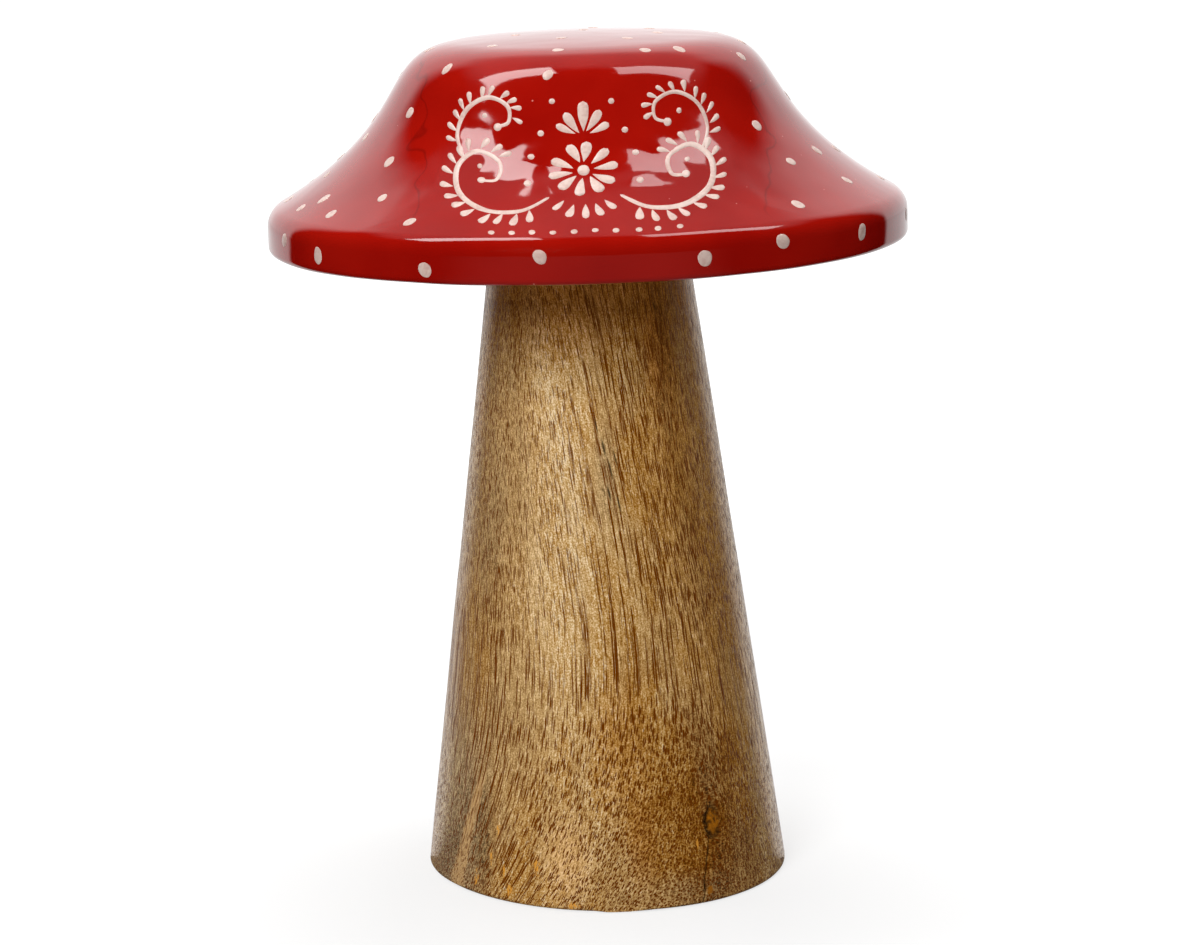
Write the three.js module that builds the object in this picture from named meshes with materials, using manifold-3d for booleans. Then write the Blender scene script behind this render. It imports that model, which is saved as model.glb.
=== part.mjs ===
// Toadstool ornament: a tapered turned stem carries a bell-shaped turned cap under a thick enamel coat,
// and one fluted dowel, glued into both, joins them.
// Millimetres, +Z up. The origin is the centre of the level foot, and the front faces -Y.
import * as THREE from "three";
import { mergeVertices } from "three/addons/utils/BufferGeometryUtils.js";
import Module from "manifold-3d";

const wasm = await Module();
wasm.setup();

// Stem
const footDiameter = 86.8;
const neckDiameter = 46;
const rimHeight = 151.4; // from the foot to the cap's lowest edge, along the leaning axis
const leanDegrees = 1.75; // the foot is sawn this far off square, so the toadstool leans towards -X
const footEdgeBreak = 1; // sanded edge round the foot
const sawAllowance = 2; // turned stock below the foot, sawn off level

// Cap, measured over the enamel
const capDiameter = 150;
const capHeight = 48.6;
const lipLowerRound = 1.5;
const lipBand = 4.7; // upright part of the lip, between its two rounds
const lipUpperRound = 5.2;
const brimSlopeDegrees = 29.4; // the slope at which the flank leaves the lip
const brimSweep = 39; // how far that slope carries into the flank's curve
const crownDiameter = 58.6; // the nearly flat top
const crownRise = 1.2; // how far the crown is domed
const shoulderSweep = 19.4; // how far the crown carries over into the flank's curve

// Enamel coat
const enamelThickness = 0.8;
const enamelWrap = 7; // how far the coat runs in under the lip

// Dowel joint
const dowelDiameter = 12;
const dowelLength = 60;
const dowelInCap = 26;
const dowelChamfer = 1.5;
const fluteCount = 14;
const fluteDepth = 0.6;
const fluteWidth = 1.4;
const boreEndRoom = 1.5; // room for glue past each end of the dowel
const glueLine = 0.3; // gap between glued faces

// Fineness of the facets
const turnSegments = 64;
const arcSteps = 3;
const flankSteps = 10;
const weldDistance = 1e-4;

// Sizes that follow from those
const lean = THREE.MathUtils.degToRad(leanDegrees);
const footRadius = footDiameter / 2;
const neckRadius = neckDiameter / 2;
const capRadius = capDiameter / 2;
const crownRadius = crownDiameter / 2;
const boreRadius = dowelDiameter / 2 + glueLine;
const coreInset = enamelThickness + glueLine; // the core lies this far inside the enamel's outside
const coreUnderside = rimHeight + coreInset; // the cap core's flat underside, along the leaning axis
const neckTop = coreUnderside - glueLine;
const dowelBottom = coreUnderside + dowelInCap - dowelLength;

const mangoWood = new THREE.MeshStandardMaterial({ color: 0xb08a58, roughness: 0.45, metalness: 0 });
const bareWood = new THREE.MeshStandardMaterial({ color: 0xc8a878, roughness: 0.7, metalness: 0 });
const redEnamel = new THREE.MeshStandardMaterial({ color: 0xb3120f, roughness: 0.08, metalness: 0 });
const beech = new THREE.MeshStandardMaterial({ color: 0xd9b98a, roughness: 0.75, metalness: 0 });

// Revolves an outline of (radius, height) points, wound anticlockwise, about +Z
function turned(outline) {
  const points = outline.map(([radius, height]) => new THREE.Vector2(radius, height));
  return new THREE.LatheGeometry(points, turnSegments).rotateX(Math.PI / 2);
}

// A closed geometry as a solid that can be cut
function solidOf(geometry) {
  const bare = geometry.clone();
  bare.deleteAttribute("normal");
  bare.deleteAttribute("uv");
  const welded = mergeVertices(bare, weldDistance);
  const vertProperties = welded.attributes.position.array;
  const triVerts = new Uint32Array(welded.index.array);
  return new wasm.Manifold(new wasm.Mesh({ numProp: 3, vertProperties, triVerts }));
}

// What two closed geometries have in common
function common(first, second) {
  const { vertProperties, triVerts } = solidOf(first).intersect(solidOf(second)).getMesh();
  const geometry = new THREE.BufferGeometry();
  geometry.setAttribute("position", new THREE.BufferAttribute(vertProperties, 3));
  geometry.setIndex(new THREE.BufferAttribute(triVerts, 1));
  geometry.computeVertexNormals();
  return geometry;
}

// Turned stem: a straight taper with the dowel's bore in its neck, sawn level at the foot
function stemGeometry() {
  const taper = (footRadius - neckRadius) / neckTop;
  const stock = footRadius * Math.tan(lean) + sawAllowance;
  const blank = turned([
    [0, -stock],
    [footRadius + taper * stock, -stock],
    [neckRadius, neckTop],
    [boreRadius, neckTop],
    [boreRadius, dowelBottom - boreEndRoom],
    [0, dowelBottom - boreEndRoom],
  ]).rotateY(-lean);
  const sides = footRadius + stock; // clear of the blank, so only the sole and its edge are cut
  const sole = turned([
    [0, 0],
    [footRadius - footEdgeBreak, 0],
    [sides, footEdgeBreak + stock],
    [sides, neckTop + stock],
    [0, neckTop + stock],
  ]);
  return common(blank, sole);
}

// The cap's outside as smooth curves from under the lip to the middle of the crown
function capCurves() {
  const lipTop = lipLowerRound + lipBand;
  const brimSlope = THREE.MathUtils.degToRad(brimSlopeDegrees);
  const crownAngle = 2 * Math.atan2(crownRise, crownRadius);
  const crownBend = crownRadius / Math.sin(crownAngle);
  const quarter = Math.PI / 2;
  const lowerRound = new THREE.EllipseCurve(
    capRadius - lipLowerRound, lipLowerRound, lipLowerRound, lipLowerRound, -quarter, 0,
  );
  const band = new THREE.LineCurve(
    new THREE.Vector2(capRadius, lipLowerRound), new THREE.Vector2(capRadius, lipTop),
  );
  const upperRound = new THREE.EllipseCurve(
    capRadius - lipUpperRound, lipTop, lipUpperRound, lipUpperRound, 0, quarter - brimSlope,
  );
  const brim = upperRound.getPoint(1);
  const crownEdge = new THREE.Vector2(crownRadius, capHeight - crownRise);
  const up = new THREE.Vector2(-Math.cos(brimSlope), Math.sin(brimSlope));
  const out = new THREE.Vector2(Math.cos(crownAngle), -Math.sin(crownAngle));
  const flank = new THREE.CubicBezierCurve(
    brim, brim.clone().addScaledVector(up, brimSweep),
    crownEdge.clone().addScaledVector(out, shoulderSweep), crownEdge,
  );
  const crown = new THREE.EllipseCurve(
    0, capHeight - crownBend, crownBend, crownBend, quarter - crownAngle, quarter,
  );
  return [
    { curve: lowerRound, steps: arcSteps },
    { curve: band, steps: 1 },
    { curve: upperRound, steps: arcSteps },
    { curve: flank, steps: flankSteps },
    { curve: crown, steps: arcSteps },
  ];
}

// Points of the cap's outside, moved inwards by an inset, from under the lip to the axis
function capOutline(inset) {
  const points = [];
  for (const { curve, steps } of capCurves()) {
    const first = points.length === 0 ? 0 : 1;
    for (let step = first; step <= steps; step++) {
      const at = curve.getPoint(step / steps);
      const along = curve.getTangent(step / steps);
      points.push([at.x - along.y * inset, at.y + along.x * inset]);
    }
  }
  points[points.length - 1][0] = 0;
  return points;
}

// Cap core: solid turned wood with a flat underside and the dowel's bore
function capCoreGeometry() {
  const boreEnd = coreInset + dowelInCap + boreEndRoom;
  return turned([[0, boreEnd], [boreRadius, boreEnd], [boreRadius, coreInset], ...capOutline(coreInset)]);
}

// Enamel coat: one shell over crown, flank and lip that ends on the underside
function capEnamelGeometry() {
  const inside = capOutline(enamelThickness).reverse();
  const edge = capRadius - lipLowerRound - enamelWrap;
  return turned([...inside, [edge, enamelThickness], [edge, 0], ...capOutline(0)]);
}

// Fluted dowel: a grooved rod with chamfered ends
function dowelGeometry() {
  const radius = dowelDiameter / 2;
  const pitch = (2 * Math.PI) / fluteCount;
  const fluteAngle = fluteWidth / radius;
  const section = new THREE.Shape();
  section.moveTo(radius, 0);
  for (let flute = 0; flute < fluteCount; flute++) {
    const landEnd = (flute + 1) * pitch - fluteAngle;
    const fluteMiddle = landEnd + fluteAngle / 2;
    const fluteEnd = (flute + 1) * pitch;
    const floor = radius - 2 * fluteDepth; // the curve's pull point lies twice as deep as the groove
    section.absarc(0, 0, radius, flute * pitch, landEnd, false);
    section.quadraticCurveTo(
      floor * Math.cos(fluteMiddle), floor * Math.sin(fluteMiddle),
      radius * Math.cos(fluteEnd), radius * Math.sin(fluteEnd),
    );
  }
  const rod = new THREE.ExtrudeGeometry(section, { depth: dowelLength, bevelEnabled: false, curveSegments: 3 });
  const clear = radius + dowelChamfer; // outside the rod, so only its ends are cut
  const ends = turned([
    [0, 0],
    [radius - dowelChamfer, 0],
    [clear, 2 * dowelChamfer],
    [clear, dowelLength - 2 * dowelChamfer],
    [radius - dowelChamfer, dowelLength],
    [0, dowelLength],
  ]);
  return common(rod, ends);
}

function piece(name, geometry, material, height = 0) {
  const mesh = new THREE.Mesh(geometry, material);
  mesh.name = name;
  mesh.position.z = height;
  return mesh;
}

const onTheAxis = new THREE.Group();
onTheAxis.rotation.y = -lean;
onTheAxis.add(
  piece("joint_dowel", dowelGeometry(), beech, dowelBottom),
  piece("cap_core", capCoreGeometry(), bareWood, rimHeight),
  piece("cap_enamel", capEnamelGeometry(), redEnamel, rimHeight),
);

const toadstool = new THREE.Group();
toadstool.add(piece("stem", stemGeometry(), mangoWood), onTheAxis);

export default toadstool;
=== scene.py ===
import bisect
import math
import random
from functools import partial, reduce

import bmesh
import bpy
from mathutils import Matrix, Vector, noise


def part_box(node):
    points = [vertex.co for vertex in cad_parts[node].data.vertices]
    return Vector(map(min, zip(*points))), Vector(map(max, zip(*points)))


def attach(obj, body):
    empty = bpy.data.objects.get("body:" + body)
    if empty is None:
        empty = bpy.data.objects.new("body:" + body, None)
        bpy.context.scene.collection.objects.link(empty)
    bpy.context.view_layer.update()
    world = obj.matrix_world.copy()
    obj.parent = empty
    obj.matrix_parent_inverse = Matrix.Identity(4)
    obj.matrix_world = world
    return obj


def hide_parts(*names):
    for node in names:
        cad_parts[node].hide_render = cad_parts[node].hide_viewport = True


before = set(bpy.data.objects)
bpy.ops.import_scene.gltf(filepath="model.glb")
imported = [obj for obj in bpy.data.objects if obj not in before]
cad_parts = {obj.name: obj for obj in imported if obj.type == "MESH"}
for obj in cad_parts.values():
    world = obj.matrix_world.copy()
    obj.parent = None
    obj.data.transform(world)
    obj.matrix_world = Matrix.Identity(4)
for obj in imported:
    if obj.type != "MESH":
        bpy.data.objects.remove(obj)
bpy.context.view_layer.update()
mm = 0.001
print("frame loaded:", ", ".join(sorted(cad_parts)))

# The axis that stem and cap were turned on; the foot is sawn a little off square, so it leans left
turning = {
    "leanDeg": 1.75,
    "rimHeight": 151.4,  # mm from the foot to the lip's underside, along the axis
    "neckHeight": 152.2,  # mm to the top of the stem, which the lip hides
}
leanAngle = math.radians(turning["leanDeg"])
lean = Matrix.Rotation(-leanAngle, 4, "Y")
upright = Vector((0, 0, 1))
mergeDistance = 1e-6  # metres within which points are one
levelDistance = 1e-7  # metres within which a point lies on the ground


# Modelling helpers
def pick(piece, kind, wanted):
    # leaves only the wanted edges or faces of the piece selected
    bpy.ops.mesh.select_mode(type=kind)
    bpy.ops.mesh.select_all(action="DESELECT")
    shape = bmesh.from_edit_mesh(piece.data)
    for part in {"EDGE": shape.edges, "FACE": shape.faces}[kind]:
        if wanted(part):
            part.select_set(True)
    shape.select_flush_mode()
    bmesh.update_edit_mesh(piece.data)


def leanPiece(piece):
    # turned upright, then leaned about the centre of the foot
    bpy.ops.object.transform_apply()
    piece.rotation_euler = (0, -leanAngle, 0)
    bpy.ops.object.transform_apply()


def cutBelow(height):
    # goes to edit mode, cuts away what lies below a height and closes the cut
    bpy.ops.object.mode_set(mode="EDIT")
    bpy.ops.mesh.select_all(action="SELECT")
    bpy.ops.mesh.bisect(plane_co=(0, 0, height), plane_no=(0, 0, 1), use_fill=True, clear_inner=True)


def closeMesh():
    # in edit mode: merges doubles, turns all faces outwards and leaves edit mode
    bpy.ops.mesh.select_all(action="SELECT")
    bpy.ops.mesh.remove_doubles(threshold=mergeDistance)
    bpy.ops.mesh.normals_make_consistent(inside=False)
    bpy.ops.object.mode_set(mode="OBJECT")


def finishPiece(piece, name, material, smoothDeg=40):
    piece.name = name
    piece.data.name = name
    bpy.ops.object.select_all(action="DESELECT")
    piece.select_set(True)
    bpy.context.view_layer.objects.active = piece
    bpy.ops.object.shade_smooth_by_angle(angle=math.radians(smoothDeg))
    piece.data.materials.clear()
    piece.data.materials.append(material)
    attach(piece, "root")
    print(name, "has", len(piece.data.polygons), "faces")


# Material helpers
smooth = {"interpolation_type": "SMOOTHSTEP"}  # a range that starts and ends softly


def linear(hexColour):
    # an sRGB hex value as linear red, green, blue, alpha
    channels = [int(hexColour[place:place + 2], 16) / 255 for place in (1, 3, 5)]
    return [c / 12.92 if c <= 0.04045 else ((c + 0.055) / 1.055) ** 2.4 for c in channels] + [1]


def addNode(tree, kind, inputs=(), operation=None, stops=(), **settings):
    # inputs are nodes, sockets or plain values, by name or in the order of the sockets that the node shows;
    # stops are a ramp's places and colours
    node = tree.nodes.new("ShaderNode" + kind)
    if operation:
        node.operation = operation
    for setting, value in settings.items():
        setattr(node, setting, value)
    byName = isinstance(inputs, dict)
    sockets = [node.inputs[name] for name in inputs] if byName else [s for s in node.inputs if s.enabled]
    for socket, value in zip(sockets, inputs.values() if byName else inputs):
        if isinstance(value, bpy.types.Node):
            value = next(output for output in value.outputs if output.enabled)
        if isinstance(value, bpy.types.NodeSocket):
            tree.links.new(value, socket)
        else:
            socket.default_value = value
    for count, (place, colour) in enumerate(stops):
        stop = node.color_ramp.elements[count] if count < 2 else node.color_ramp.elements.new(place)
        stop.position = place
        stop.color = linear(colour)
    return node


def newMaterial(name):
    # an empty material, and addNode for its own nodes
    material = bpy.data.materials.new(name)
    material.use_nodes = True
    material.node_tree.nodes.clear()
    return material, partial(addNode, material.node_tree)


def endMaterial(add, values, relief, sockets):
    # bumps the relief and adds the surface
    bump = add("Bump", {"Height": relief, "Strength": values["bumpStrength"],
                        "Distance": values["bumpDepth"] * mm})
    surface = add("BsdfPrincipled", {"Normal": bump, "IOR": values["ior"], **sockets})
    add("OutputMaterial", {"Surface": surface})


def inMillimetres(add, turn=(0, leanAngle, 0)):
    # a piece's own coordinates in mm, stood upright unless another turn is given
    place = add("TexCoord").outputs["Object"]
    return add("Mapping", {"Vector": place, "Rotation": turn, "Scale": (1 / mm, 1 / mm, 1 / mm)})


def grainNoise(add, source, across, along, detail):
    # noise drawn out along the grain, sizes in mm
    cells = add("Mapping", {"Vector": source, "Scale": (1 / across, 1 / across, 1 / along)})
    return add("TexNoise", [cells, 1, detail])


def anyOf(add, places):
    return reduce(lambda one, other: add("Math", [one, other], "MAXIMUM"), places)


# Mango wood, turned, sanded and wiped with satin lacquer. The eye sees golden tan with fine orange-brown
# vessels: long lines down the front, short dashes to its sides and dots near the foot, where the grain
# turns in; a dark knot with its crack, a pale streak, golden flecks and edges that mirror white
# Its colour also holds painted light: a lighter band where the front lamp falls, and painted shade on the
# sides, under the cap and in the knot's groove
mango = {
    "footRadius": 43.4,
    "taper": 0.134,  # mm of radius lost for each mm of height
    "tones": [(0, "#4a2300"), (0.25, "#864f0e"), (0.5, "#b07e3a"), (0.75, "#d2aa6e"), (1, "#f4ddb6")],
    "tone": 0.655,  # where plain wood lies on those tones
    # mm across the grain, mm along it, detail, and how far each layer moves the tone
    "layers": [(8, 60, 2, 0.4), (0.5, 12, 2, 0.4), (0.32, 2.4, 1, 0.85), (0.3, 0.36, 0, 0.75)],
    # how far each mark moves it; pale and sides are painted highlight and painted shade from the front lamp,
    # neck is painted shade under the cap
    "markTones": {"pale": 0.1, "sides": -0.07, "neck": -0.06, "heart": -0.27, "rings": 0.04,
                  "beside": -0.24, "inside": 0.34},

    # run of the grain
    "wander": [(48, (2.5, 1.2, 0)), (9, (0.25, 0.15, 0))],  # mm long, mm aside
    "drift": 0.18,  # mm to the right for each mm down
    "bowHeight": 123,  # mm, below this the trunk's bow takes the grain back to the left
    "bow": 0.000012,
    "fanMiddle": (-6, 75),  # mm to the right and up
    "fan": 0.00016,  # how far the grain fans out from there towards the foot
    "turnInHeight": 58,  # mm, below this the grain turns in towards the axis
    "turnIn": 0.0001,

    # vessels
    "vessel": "#6a3200",
    "vesselSpacing": 0.5,  # mm across the grain
    "vesselRadius": (0.08, 0.48),  # least and most, as shares of that spacing
    "vesselEdge": 0.06,
    "vesselDepth": (0.68, 1.75),  # how dark they are in the painted highlight band and in the painted shade to its sides
    "vesselRun": 4.5,  # mm that a vessel keeps its darkness
    "runNoise": (0.36, 0.58),
    "runDepth": (0.3, 1.3),
    "quiet": 0.5,  # how much fainter they are at the quiet places
    "quietPlaces": [(-11, 12, 8, 13), (-28, 15, 8, 17)],  # angle, height, half width, half length

    # painted light on the wood: a lighter band down the front where the front lamp falls, painted shade on
    # the sides turned from it, and painted shade on the neck under the cap
    "litBandDeg": -18,
    "litBandHeight": 97,
    "litBandSize": (11, 14, 60),  # mm to the side, in and up
    "litBandFade": (0.4, 1.4),  # as shares of that size
    "shadedSidesFade": (0.7, 2.0),
    "neckShadeFade": (120, 146),  # mm up, painted shade under the cap

    # knot and its brown heart
    "knotDeg": 38.1,
    "knotHeight": 17.7,
    "knotReach": 4.2,  # mm that the knot pushes the grain aside
    "knotUp": 0.36,  # its push reaches further up and down than across
    "heartWander": (9, 420),  # mm long, square mm out
    "heartFade": (150, 620),  # square mm
    "ringTurn": 2.1,  # radians of a ring for each mm
    "knotAmber": "#a4620e",
    "knotDark": "#2e1a08",

    # pale streak with olive sides
    "streak": "#c4945a",
    "streakDeg": -51.5,
    "streakHeight": 14,
    "streakLeanDeg": 15,
    "streakWidth": 4.8,
    "streakLength": 31,
    "streakDepth": 12,  # mm in, so that it doesn't come out at the back
    "streakWedge": (0.7, 1.9),  # it narrows towards its tip
    "streakWander": 3.4,  # mm that the fibres take its edges aside
    "insideFade": (0.35, 0.6),  # as shares of its width
    "besideFade": (0.6, 3.4),
    "besideMost": 0.8,
    "endFade": (0.4, 0.56),  # as shares of its length
    "streakQuiet": 1.1,  # how much fainter the vessels are in it
    "streakShare": 0.6,

    # stains, and painted shade round the neck under the cap: angle, height, half width and half length in mm,
    # change of tone, hue and how much of it
    "stainsAndNeckShade": [
        (-60, 16, 17, 40, -0.06, "#8b795c", 0.75), (-11, 12, 8, 13, 0.16, "#cf9a58", 0.5),
        (40, 128, 5, 17, -0.08, "#9a5206", 0.5), (7, 101, 4, 15, -0.08, "#8a7554", 0.5),
        (-30, 46, 10, 30, -0.1, "#8a7350", 0.5), (-42, 15, 4, 15, -0.14, "#75603f", 0.5),
        (-47, 100, 14, 50, -0.1, "#8f7550", 0.6), (-76, 80, 10, 90, -0.14, "#8a7350", 0.4),
        (52, 85, 16, 75, -0.1, "#8f6632", 0.4), (10, 38, 8, 26, -0.08, "#8a5a20", 0.2),
        # the second entry here, 152 mm up and 60 mm to either side, is painted shade round the neck under the
        # cap
        (15, 15, 4, 13, -0.13, "#7d5020", 0.3), (0, 152, 60, 24, -0.02, "#955200", 0.55),
        (24, 2, 16, 6, -0.05, "#8a7350", 0.4), (46, 114, 8, 36, -0.08, "#8f6632", 0.3),
    ],
    "stainFade": (0.3, 1.25),  # as shares of its size
    "patchDepth": 6,  # mm that a stain, fleck or check reaches in at least
    "grey": "#8a7350",  # patches all over where the wood is less orange
    "greySize": (7, 26),  # mm across and along the grain
    "greyNoise": (0.45, 0.62),
    "greyShare": 0.32,

    # golden flecks near the foot: angle, height, half width, half length
    "flecks": [(-22.7, 9.8, 1.2, 3.4), (-46, 4.6, 1, 3), (-40, 10, 0.7, 3.2), (-34.5, 8, 0.6, 2.8),
               (-32.2, 3.6, 1.4, 2), (-10.2, 1.4, 2.2, 1.2), (-37.5, 17.5, 0.9, 2.2), (31, 13.5, 0.6, 2.2)],
    "fleck": "#e39c3a",
    "fleckFade": (0.2, 1.3),
    "fleckGrain": (0.4, 1.1),  # mm across and along
    "fleckLift": 0.26,
    "fleckNoise": (0.68, 0.76),
    "fleckShare": 0.9,

    # small dark checks in the painted highlight band
    "checks": [(4.6, 107, 0.3, 2.4), (7.2, 102, 0.24, 3), (6.2, 96.5, 0.3, 2.2), (9.6, 104.5, 0.2, 2.4),
               (1.5, 112, 0.2, 2), (10.2, 94, 0.24, 2.6)],
    "check": "#4a3b28",
    "checkFade": (0.3, 1.2),
    "checkLeanDeg": -11,

    # lacquer
    "lacquer": "#ffc46c",
    "roughness": 0.22,
    "vesselDull": 0.3,  # rougher by this in the vessels
    "sawnDull": 0.5,  # and by this on the sawn foot
    "sawnFacing": (-0.95, -0.8),
    "shine": (0.5, 0.08),  # on the wood and in the vessels, cracks and checks
    "ior": 1.7,
    "bumpStrength": 0.6,
    "bumpDepth": 0.12,  # mm
    "fibreRelief": 0.4,
}


def stemRadius(height):
    return mango["footRadius"] - mango["taper"] * height


def onStem(angleDeg, height):
    # a place on the upright stem's side, mm; the angle runs from the front to the right
    angle = math.radians(angleDeg)
    radius = stemRadius(height)
    return Vector((radius * math.sin(angle), -radius * math.cos(angle), height))


def aroundPlace(add, source, angleDeg, height, size=(1, 1, 1), leanDeg=0):
    # coordinates about a place on the stem's side, counted in a size: x to the right, y inwards, z up
    turn = (0, math.radians(leanDeg), math.radians(angleDeg))
    return add("Mapping", [source, onStem(angleDeg, height), turn, size], vector_type="TEXTURE")


def patch(add, source, angleDeg, height, halfWidth, halfLength, fade, leanDeg=0):
    # 1 in the middle of a spot on the stem's side and 0 outside it
    size = (halfWidth, max(halfWidth, mango["patchDepth"]), halfLength)
    spot = aroundPlace(add, source, angleDeg, height, size, leanDeg)
    away = add("VectorMath", [spot], "LENGTH")
    return add("MapRange", [away, *fade, 1, 0], **smooth)


def partRoundKnot(add, wood):
    # square mm from the knot, and coordinates that wander a little and part round the knot
    knotFrame = aroundPlace(add, wood, mango["knotDeg"], mango["knotHeight"])
    knot = add("SeparateXYZ", [knotFrame])
    across = add("Math", [knot.outputs["X"], 2], "POWER")
    up = add("Math", [knot.outputs["Z"], 2], "POWER")
    distance = add("Math", [up, mango["knotUp"], across], "MULTIPLY_ADD")
    reach = mango["knotReach"] ** 2 / 2
    room = add("Math", [distance, reach], "ADD")
    push = add("Math", [-reach, room], "DIVIDE")
    shift = add("Math", [push, knot.outputs["X"]], "MULTIPLY")
    knotAngle = math.radians(mango["knotDeg"])
    aside = add("VectorMath", [(math.cos(knotAngle), math.sin(knotAngle), 0), shift], "SCALE")
    wandered = add("VectorMath", [wood, aside], "ADD")
    for length, most in mango["wander"]:
        noisy = add("TexNoise", [wood, 1 / length, 1]).outputs["Color"]
        wandered = add("VectorMath", [noisy, most, wandered], "MULTIPLY_ADD")
    return distance, wandered


def runGrain(add, wood, wandered):
    # coordinates along the trunk, and along the grain that turns in near the foot
    place = add("SeparateXYZ", [wood])
    height = place.outputs["Z"]

    def below(level):
        under = add("Math", [level, height], "SUBTRACT")
        return add("Math", [under, 0], "MAXIMUM")

    # going down, the grain of the bowed trunk runs to the right at first and to the left near the foot,
    # and it fans out to either side
    bowed = add("Math", [below(mango["bowHeight"]), 3], "POWER")
    fanMiddle, fanHeight = mango["fanMiddle"]
    aside = add("Math", [place.outputs["X"], fanMiddle], "SUBTRACT")
    asideBoth = add("Math", [aside], "ABSOLUTE")
    asideSquare = add("Math", [aside, asideBoth], "MULTIPLY")
    above = add("Math", [height, fanHeight], "SUBTRACT")
    fanned = add("Math", [asideSquare, above], "MULTIPLY")
    for amount, share in ((bowed, mango["bow"]), (height, mango["drift"]), (fanned, mango["fan"])):
        wandered = add("VectorMath", [amount, (share, 0, 0), wandered], "MULTIPLY_ADD")

    # it follows the slope of front and back
    apex = mango["footRadius"] / mango["taper"]
    toApex = add("Math", [apex, height], "SUBTRACT")
    slope = add("Math", [apex, toApex], "DIVIDE")
    trunk = add("VectorMath", [wandered, add("CombineXYZ", [1, slope, 1])], "MULTIPLY")

    low = below(mango["turnInHeight"])
    lowSquare = add("Math", [low, low], "MULTIPLY")
    pinch = add("Math", [lowSquare, mango["turnIn"], 1], "MULTIPLY_ADD")
    grain = add("VectorMath", [trunk, add("CombineXYZ", [pinch, pinch, 1])], "MULTIPLY")
    return trunk, grain


def drawVessels(add, grain):
    # vessels are tubes along the grain: the surface cuts them to lines, dashes or dots
    spacing = mango["vesselSpacing"]
    edge = mango["vesselEdge"]
    cells = add("Mapping", {"Vector": grain, "Scale": (1 / spacing, 1 / spacing, 1)})
    tubes = add("TexVoronoi", [cells, 1], voronoi_dimensions="2D")
    chance = add("SeparateXYZ", [tubes.outputs["Color"]]).outputs["X"]
    radius = add("MapRange", [chance, 0, 1, *mango["vesselRadius"]])
    near = add("Math", [tubes, radius], "SUBTRACT")
    tube = add("MapRange", [near, -edge, edge, 1, 0], **smooth)
    run = grainNoise(add, grain, spacing, mango["vesselRun"], 1)
    runDark = add("MapRange", [run, *mango["runNoise"], *mango["runDepth"]])
    return add("Math", [tube, runDark], "MULTIPLY")


def drawHeart(add, wood, knotDistance):
    # brown heart round the knot, and its rings
    edgeLength, edgeOut = mango["heartWander"]
    edge = add("TexNoise", [wood, 1 / edgeLength, 3])
    reach = add("Math", [edge, edgeOut, knotDistance], "MULTIPLY_ADD")
    heart = add("MapRange", [reach, *mango["heartFade"], 1, 0], **smooth)
    away = add("Math", [reach], "SQRT")
    turn = add("Math", [away, mango["ringTurn"]], "MULTIPLY")
    wave = add("Math", [turn], "SINE")
    return heart, add("Math", [wave, heart], "MULTIPLY")


def drawStreak(add, wandered, fibres):
    # the pale streak, and its olive sides
    width, length, wander = mango["streakWidth"], mango["streakLength"], mango["streakWander"]
    streakFrame = aroundPlace(add, wandered, mango["streakDeg"], mango["streakHeight"],
                              leanDeg=mango["streakLeanDeg"])
    across, inwards, up = add("SeparateXYZ", [streakFrame]).outputs
    middle = add("Math", [across], "ABSOLUTE")
    wedge = add("MapRange", [up, -length / 2, length / 2, *mango["streakWedge"]])
    shape = add("Math", [middle, wedge, -wander / 2], "MULTIPLY_ADD")
    aside = add("Math", [fibres, wander, shape], "MULTIPLY_ADD")
    away = add("Math", [up], "ABSOLUTE")
    along = add("MapRange", [away, *(length * share for share in mango["endFade"]), 1, 0])
    near = add("Math", [inwards, mango["streakDepth"]], "LESS_THAN")
    shown = add("Math", [along, near], "MULTIPLY")
    drawn = []
    for fade, most in ((mango["insideFade"], 1), (mango["besideFade"], mango["besideMost"])):
        level = add("MapRange", [aside, *(width * share for share in fade), most, 0])
        drawn.append(add("Math", [level, shown], "MULTIPLY"))
    return drawn


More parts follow.
